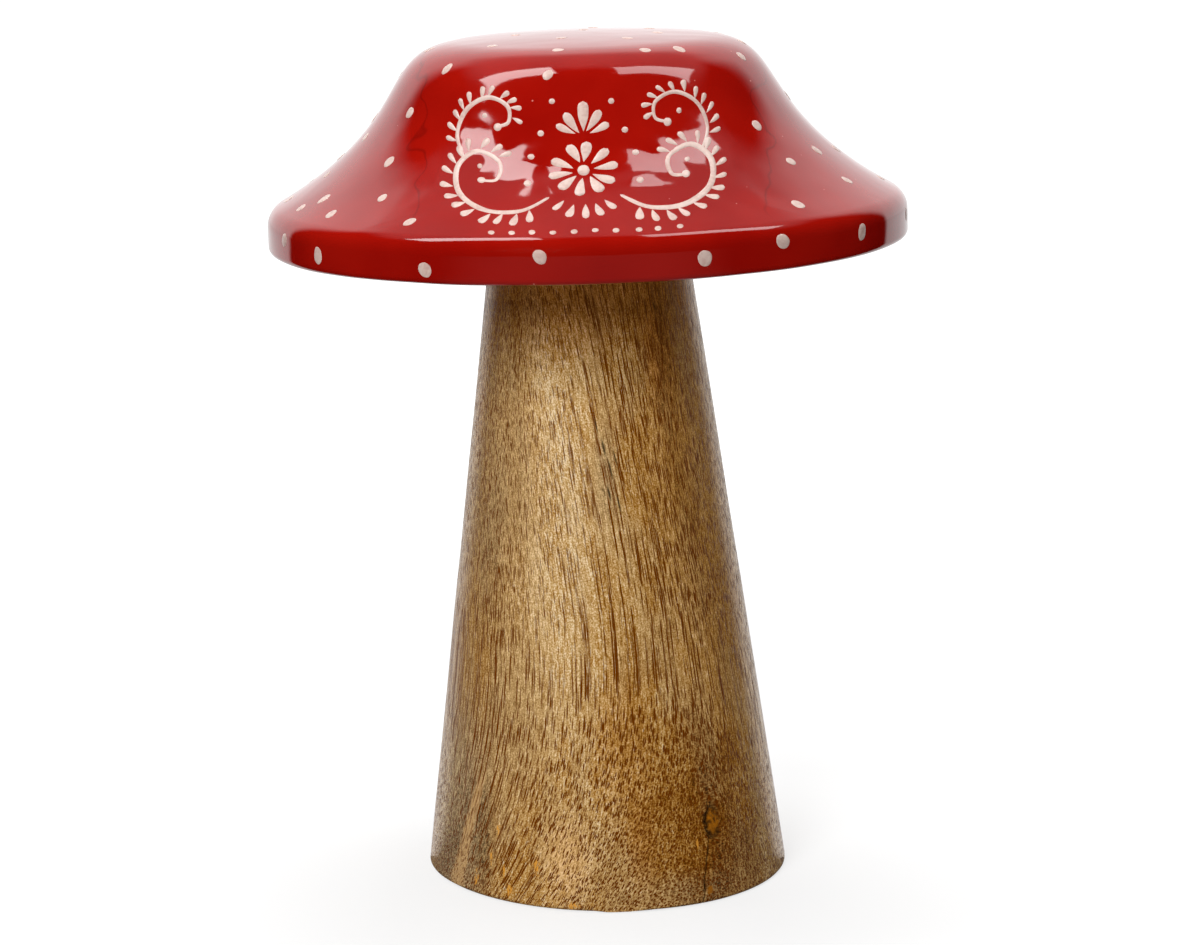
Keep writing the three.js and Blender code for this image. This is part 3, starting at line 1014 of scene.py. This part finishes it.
def makeDots(material):
    bpy.ops.object.select_all(action="DESELECT")
    bpy.ops.mesh.primitive_uv_sphere_add(segments=dotForm["sides"], ring_count=dotForm["rings"], radius=1,
                                         location=(0, 0, 0))
    dab = bpy.context.object
    cutBelow(-dotForm["sunk"])
    bpy.ops.object.mode_set(mode="OBJECT")
    lip, flank = scatterSpots()
    shake = random.Random(dotForm["seed"] + 1)
    copies = []
    for spots, diameter in ((lip, dotForm["lipDiameter"]), (flank, dotForm["flankDiameter"])):
        for angle, along in spots:
            copy = dab.copy()
            copy.data = dab.data.copy()
            bpy.context.collection.objects.link(copy)
            size = diameter / 2 * shake.uniform(*dotForm["size"])
            stretch = shake.uniform(*dotForm["stretch"])
            turn = shake.uniform(0, math.pi)
            seat = Vector((shake.uniform(0, dotForm["seats"]), shake.uniform(0, dotForm["seats"]), 0))
            for vert in copy.data.vertices:
                around = math.atan2(vert.co.y, vert.co.x)
                edge = noise.noise(seat + Vector((math.cos(around), math.sin(around), 0)))
                ragged = 1 + dotForm["raggedness"] * edge
                x, y = vert.co.x * size * stretch * ragged, vert.co.y * size / stretch * ragged
                vert.co.x = x * math.cos(turn) - y * math.sin(turn)
                vert.co.y = x * math.sin(turn) + y * math.cos(turn)
            wrapOnCap(copy, angle, along, dotForm["rise"])
            copies.append(copy)
    bpy.data.objects.remove(dab)
    bpy.ops.object.select_all(action="DESELECT")
    for copy in copies:
        copy.select_set(True)
    bpy.context.view_layer.objects.active = copies[0]
    bpy.ops.object.join()
    finishPiece(copies[0], "paintedDots", material, smoothDeg=60)


# Painted ornament on the front: a daisy between two scrolling vines, drawn flat in mm with x across the
# front and y up the outline, then laid on the coat
ornamentForm = {
    "rise": 0.17,  # height of a stroke as a share of its half width
    "daisyAlong": 33.0,
    "petals": 10,
    "petalTurnDeg": 11,
    "petalStart": 2.3,
    "petalLength": 5.4,
    "petalWidth": 2.3,
    "heart": 2.7,
    "vine": [(7.6, 25.4), (14.0, 21.0), (22.0, 21.2), (28.4, 26.6), (29.2, 34.2), (24.4, 38.6), (18.9, 35.8),
             (19.4, 30.8), (23.2, 30.4)],
    "vineWidths": [0.6, 1.2, 1.5, 1.5, 1.4, 1.2, 1.0, 0.9, 0.8],
    "shoot": [(27.6, 36.6), (29.6, 42.4), (27.4, 48.6), (21.8, 51.8), (16.9, 49.8), (16.6, 45.8),
              (19.4, 44.6)],
    "shootWidths": [0.6, 1.0, 1.1, 1.0, 0.9, 0.8, 0.7],
    "thinEnd": 0.05,
    "berry": 2.0,  # at the end of a vine
    # leaves along a vine and along a shoot: how many, first and last as shares of it, length, width
    "vineLeaves": (15, 0.1, 0.74, 3.9, 1.65),
    "shootLeaves": (11, 0.14, 0.78, 3.3, 1.4),
    "leafTurnDeg": 62,  # how far a leaf turns away from its vine
    "leafBendDeg": 14,
    "leafShape": (0.8, 4, 0.66),  # powers for its pointed and its round end, and the most they give
    "leafSizes": (1.1, 0.75),  # at the vine's start and at its tip
    "berries": [(12.2, 29.6, 1.7), (11.6, 37.2, 1.6), (9.6, 43.4, 1.5), (23.4, 34.6, 1.3), (6.6, 51.0, 1.4),
                (22.4, 47.6, 1.3)],
    # sprig over the daisy and fan of drops under it: x, y, direction in degrees, length, width
    "sprig": [(0.0, 43.6, 90, 7.4, 2.3), (0.9, 43.4, 60, 6.0, 2.0), (1.6, 42.8, 30, 4.8, 1.7)],
    "fan": [(0.0, 22.6, -90, 4.8, 1.9), (2.4, 23.0, -70, 4.3, 1.7), (4.7, 23.9, -50, 3.8, 1.5)],
    "beadAlong": 13.6,
    "beadPitch": 4.6,
    "beads": 5,
    "beadDiameter": 1.5,
    "steps": {"leaf": 14, "dab": 10, "vine": 9},
    "bevelSteps": 2,
    # unsteady hand: mm aside, lightest and heaviest stroke, unevenness along it and how often to a mm
    "shake": 0.3,
    "weights": (0.9, 1.1),
    "uneven": 0.16,
    "unevenOften": 0.35,
    "seats": 100,
    "thinnest": 0.03,
    "seed": 11,
}


def leafStroke(x, y, towardsDeg, length, width, bendDeg=ornamentForm["leafBendDeg"]):
    # pointed where the brush lifts off, round where it was set down
    steps = ornamentForm["steps"]["leaf"]
    opens, closes, fullest = ornamentForm["leafShape"]
    points = []
    for step in range(steps + 1):
        t = step / steps
        half = width / 2 * t ** opens * math.sqrt(1 - t ** closes) / fullest
        points.append((x, y, half))
        towards = math.radians(towardsDeg + bendDeg * (t - 0.5))
        x += math.cos(towards) * length / steps
        y += math.sin(towards) * length / steps
    return points


def dabStroke(x, y, diameter):
    steps = ornamentForm["steps"]["dab"]
    shares = [step / steps for step in range(steps + 1)]
    return [(x + diameter * (share - 0.5), y, diameter * math.sqrt(share * (1 - share))) for share in shares]


def vineStroke(points, widths):
    # a smooth line through the points, with thin ends
    padded = [points[0]] + points + [points[-1]]
    steps = ornamentForm["steps"]["vine"]
    stroke = []
    for index in range(len(points) - 1):
        a, b, c, d = [Vector(point) for point in padded[index:index + 4]]
        for step in range(steps + (index == len(points) - 2)):
            t = step / steps
            place = ((b * 2) + (c - a) * t + (a * 2 - b * 5 + c * 4 - d) * t * t
                     + (b * 3 - a - c * 3 + d) * t ** 3) / 2
            half = (widths[index] * (1 - t) + widths[index + 1] * t) / 2
            stroke.append((place.x, place.y, half))
    for end in (0, -1):
        stroke[end] = (*stroke[end][:2], ornamentForm["thinEnd"])
    return stroke


def sideLeaves(stroke, count, first, last, length, width):
    # leaves on the outside of a vine that curls to the left, smaller towards its tip
    atStart, atTip = ornamentForm["leafSizes"]
    leaves = []
    for leaf in range(count):
        share = first + (last - first) * leaf / (count - 1)
        index = int(share * (len(stroke) - 2))
        x, y, half = stroke[index]
        nextX, nextY = stroke[index + 1][:2]
        towards = math.atan2(nextY - y, nextX - x) - math.radians(ornamentForm["leafTurnDeg"])
        size = atStart + (atTip - atStart) * share
        leaves.append(leafStroke(x + math.cos(towards) * half, y + math.sin(towards) * half,
                                 math.degrees(towards), length * size, width * size))
    return leaves


def ornamentStrokes():
    form = ornamentForm
    strokes = [dabStroke(0, form["daisyAlong"], form["heart"])]
    for petal in range(form["petals"]):
        towards = 360 * petal / form["petals"] + form["petalTurnDeg"]
        x = form["petalStart"] * math.cos(math.radians(towards))
        y = form["daisyAlong"] + form["petalStart"] * math.sin(math.radians(towards))
        strokes.append(leafStroke(x, y, towards, form["petalLength"], form["petalWidth"]))
    strokes += [leafStroke(*form["sprig"][0], bendDeg=0), leafStroke(*form["fan"][0], bendDeg=0)]
    for side in (1, -1):
        half = []
        for name in ("vine", "shoot"):
            stroke = vineStroke(form[name], form[name + "Widths"])
            half += [stroke, dabStroke(*form[name][-1], form["berry"])]
            half += sideLeaves(stroke, *form[name + "Leaves"])
        half += [leafStroke(*leaf) for leaf in form["sprig"][1:] + form["fan"][1:]]
        half += [dabStroke(*berry) for berry in form["berries"]]
        half += [dabStroke(form["beadPitch"] * (bead + 0.5), form["beadAlong"], form["beadDiameter"])
                 for bead in range(form["beads"])]
        strokes += [[(x * side, y, width) for x, y, width in stroke] for stroke in half]
    return strokes


def makeOrnament(material):
    form = ornamentForm
    hand = random.Random(form["seed"])
    bpy.ops.object.select_all(action="DESELECT")
    bpy.ops.curve.primitive_bezier_curve_add(location=(0, 0, 0))
    drawing = bpy.context.object
    line = drawing.data
    line.splines.clear()
    line.bevel_depth = 1
    line.bevel_resolution = form["bevelSteps"]
    line.use_fill_caps = True
    line.twist_mode = "Z_UP"
    for stroke in ornamentStrokes():
        shiftX, shiftY = [hand.uniform(-form["shake"], form["shake"]) for axis in "xy"]
        heavy = hand.uniform(*form["weights"])
        seat = hand.uniform(0, form["seats"])
        spline = line.splines.new("POLY")
        spline.points.add(len(stroke) - 1)
        for point, (x, y, half) in zip(spline.points, stroke):
            edge = noise.noise(Vector((seat, x * form["unevenOften"], y * form["unevenOften"])))
            point.co = (x + shiftX, y + shiftY, 0, 1)
            point.radius = max(half * heavy * (1 + form["uneven"] * edge), form["thinnest"])
    bpy.ops.object.convert(target="MESH")
    wrapOnCap(drawing, 0, 0, form["rise"])
    bpy.ops.object.mode_set(mode="EDIT")
    closeMesh()
    finishPiece(drawing, "paintedOrnament", material, smoothDeg=60)


# Photographer's table: white round the object, with its soft shadow kept on the floor
studio = {
    "floorSize": 9.0,
    "floorDrop": 0.2,  # mm below the foot
    "floorColour": "#959595",
    "footRoom": 0.042,  # m, the table is open under the foot, so light from below shows its sawn face
    "shadowRoom": (0.22, 0.55),  # m round the object where the floor shows its shadow, which then fades
    "nearGlow": 0.7,
    "frontMirror": 0.13,  # how bright the floor in front looks in the gloss
    "frontFade": (-0.95, -0.6),  # cosine of the angle from straight behind
    "sweepRoom": 0.05,  # m to either side of the middle that count as straight behind
    "sweepSide": 0.67,  # cosine of the angle where the white sweep behind ends to either side
    "sweepEdge": (0.03, 0.12),  # how soft that end is, low down and high up
    "sweepEdgeRise": (0.1, 0.5),  # sine of the heights for that
    "sweepTop": (0.62, 0.8),  # sine of the height where it fades
    "sweepMirror": 1.12,
    "overheadMirror": 0.45,
    "overheadFade": (0.66, 0.8),
    "rearFade": (-0.1, 0.15),  # the glow overhead is behind the object only
    "sweepLight": 0.4,  # how strongly it lights the sides
    "ambient": 0.05,
    "belowLight": 0.75,
    "belowFade": (-0.2, 0),
    "rightLight": 0.42,
    "rightFade": (0.2, 0.9),
    "softboxes": [  # centre, size in metres, turn in degrees, watts
        ((-0.538, -0.063, 1.1), (0.676, 0.235), 1, 4.2),
        ((0.471, -0.003, 1.1), (0.64, 0.227), 18, 2.45),
    ],
    # name, centre, size, watts and aim of the lamps that the gloss doesn't show
    "lamps": [
        ("topLight", (0.0, 0.36, 1.5), (0.7, 0.5), 13.6, (0, 0, 0.19)),
        ("frontFill", (-0.62, -1.6, 0.93), (0.7, 0.75), 28.6, (0, 0, 0.08)),
    ],
}


def makeFloor():
    bpy.ops.object.select_all(action="DESELECT")
    bpy.ops.mesh.primitive_plane_add(size=studio["floorSize"], location=(0, 0, -studio["floorDrop"] * mm))
    floor = bpy.context.object
    floor.name = "floor"
    material, add = newMaterial("whiteTable")
    light = add("LightPath").outputs
    place = add("TexCoord").outputs["Object"]
    x, y = add("SeparateXYZ", [place]).outputs[:2]
    away = add("VectorMath", [place], "LENGTH")

    # white to the camera, with a shadow near the object
    glow = add("MapRange", [away, *studio["shadowRoom"], studio["nearGlow"], 1], **smooth)
    seen = anyOf(add, [light["Is Camera Ray"], light["Is Transmission Ray"]])
    seenGlow = add("Math", [glow, seen], "MULTIPLY")
    plain = add("BsdfDiffuse", {"Color": linear(studio["floorColour"])})
    lit = add("AddShader", [plain, add("Emission", {"Strength": seenGlow})])

    # in the gloss it is white behind the object and dim in front
    xBoth = add("Math", [x], "ABSOLUTE")
    beyond = add("Math", [xBoth, studio["sweepRoom"]], "SUBTRACT")
    aside = add("Math", [beyond, 0], "MAXIMUM")
    distance = add("VectorMath", [add("CombineXYZ", [aside, y])], "LENGTH")
    ahead = add("Math", [y, distance], "DIVIDE")  # 1 straight behind
    side, edge = studio["sweepSide"], studio["sweepEdge"][0]
    sweep = add("MapRange", [ahead, side - edge, side + edge], **smooth)
    front = add("MapRange", [ahead, *studio["frontFade"], studio["frontMirror"], 0], **smooth)
    mirrored = add("Math", [sweep, front], "ADD")
    inGloss = add("Emission", {"Strength": mirrored})
    shown = add("MixShader", [light["Is Glossy Ray"], lit, inGloss])

    # open from below and under the foot
    underFoot = add("Math", [away, studio["footRoom"]], "LESS_THAN")
    below = anyOf(add, [add("NewGeometry").outputs["Backfacing"], underFoot])
    surface = add("MixShader", [below, shown, add("BsdfTransparent")])
    add("OutputMaterial", {"Surface": surface})
    floor.data.materials.append(material)


def makeWorld():
    # white to the camera; in the gloss a white backdrop behind, open to the dark room in front and above
    world = bpy.data.worlds.new("studioWorld")
    bpy.context.scene.world = world
    world.use_nodes = True
    world.node_tree.nodes.clear()
    add = partial(addNode, world.node_tree)
    light = add("LightPath").outputs
    x, y, z = add("SeparateXYZ", [add("TexCoord").outputs["Generated"]]).outputs
    level = add("VectorMath", [add("CombineXYZ", [x, y])], "NORMALIZE")
    behind = add("SeparateXYZ", [level]).outputs["Y"]
    soft = add("MapRange", [z, *studio["sweepEdgeRise"], *studio["sweepEdge"]])
    sideLow = add("Math", [studio["sweepSide"], soft], "SUBTRACT")
    sideHigh = add("Math", [studio["sweepSide"], soft], "ADD")
    wide = add("MapRange", [behind, sideLow, sideHigh], **smooth)
    low = add("MapRange", [z, *studio["sweepTop"], 1, 0], **smooth)
    backdrop = add("Math", [wide, low], "MULTIPLY")
    bright = add("Math", [backdrop, studio["sweepMirror"]], "MULTIPLY")
    overhead = add("MapRange", [z, *studio["overheadFade"], 0, studio["overheadMirror"]], **smooth)
    rear = add("MapRange", [y, *studio["rearFade"]], **smooth)
    mirrored = add("Math", [overhead, rear, bright], "MULTIPLY_ADD")

    # what lights the object
    fromBelow = add("MapRange", [z, *studio["belowFade"], studio["belowLight"], studio["ambient"]])
    fromRight = add("MapRange", [x, *studio["rightFade"], 0, studio["rightLight"]])
    around = add("Math", [fromBelow, fromRight], "ADD")
    lighting = add("Math", [backdrop, studio["sweepLight"], around], "MULTIPLY_ADD")
    seen = anyOf(add, [light["Is Camera Ray"], light["Is Transmission Ray"]])
    plain = add("MapRange", [seen, 0, 1, lighting, 1])
    strength = add("Mix", [light["Is Glossy Ray"], plain, mirrored])
    background = add("Background", {"Color": (1, 1, 1, 1), "Strength": strength})
    add("OutputWorld", {"Surface": background})


def addSoftbox(name, place, size, watts, aim, inGloss):
    bpy.ops.object.light_add(type="AREA", location=place)
    softbox = bpy.context.object
    softbox.name = name
    softbox.rotation_euler = (Vector(aim) - Vector(place)).to_track_quat("-Z", "Y").to_euler()
    softbox.data.shape = "RECTANGLE"
    softbox.data.size, softbox.data.size_y = size
    softbox.data.energy = watts
    softbox.visible_camera = False
    softbox.visible_glossy = inGloss
    return softbox


def makeLights():
    for count, (place, size, turnDeg, watts) in enumerate(studio["softboxes"]):
        softbox = addSoftbox("softbox%d" % (count + 1), place, size, watts, (place[0], place[1], 0), True)
        softbox.rotation_euler.z += math.radians(turnDeg)
    for lamp in studio["lamps"]:
        addSoftbox(*lamp, False)


# Camera at the photograph's viewing angle
viewpoint = {
    "place": (0, -0.806, 0.2588),
    "aim": (-0.0041, 0, 0.0953),
    "lens": 105.0,
    "sensorWidth": 36.0,
    "clip": (0.05, 50),
}


def makeCamera():
    bpy.ops.object.camera_add(location=viewpoint["place"])
    camera = bpy.context.object
    aim = Vector(viewpoint["aim"]) - Vector(viewpoint["place"])
    camera.rotation_euler = aim.to_track_quat("-Z", "Y").to_euler()
    camera.data.lens = viewpoint["lens"]
    camera.data.sensor_width = viewpoint["sensorWidth"]
    camera.data.clip_start, camera.data.clip_end = viewpoint["clip"]
    bpy.context.scene.camera = camera


makeCamera()
makeWorld()
makeLights()
makeFloor()
print("studio ready")

makeStem(makeMangoWood())
makeCapEnamel(makeRedEnamel())
whitePaint = makeWhitePaint()
makeDots(whitePaint)
makeOrnament(whitePaint)
for node, material in (("cap_core", makePlainWood("bareWood", (0, math.radians(90), 0))),
                       ("joint_dowel", makePlainWood("beech", (0, leanAngle, 0)))):
    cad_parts[node].data.materials.clear()
    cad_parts[node].data.materials.append(material)
print("pieces ready")

bpy.context.scene.view_settings.view_transform = "Standard"
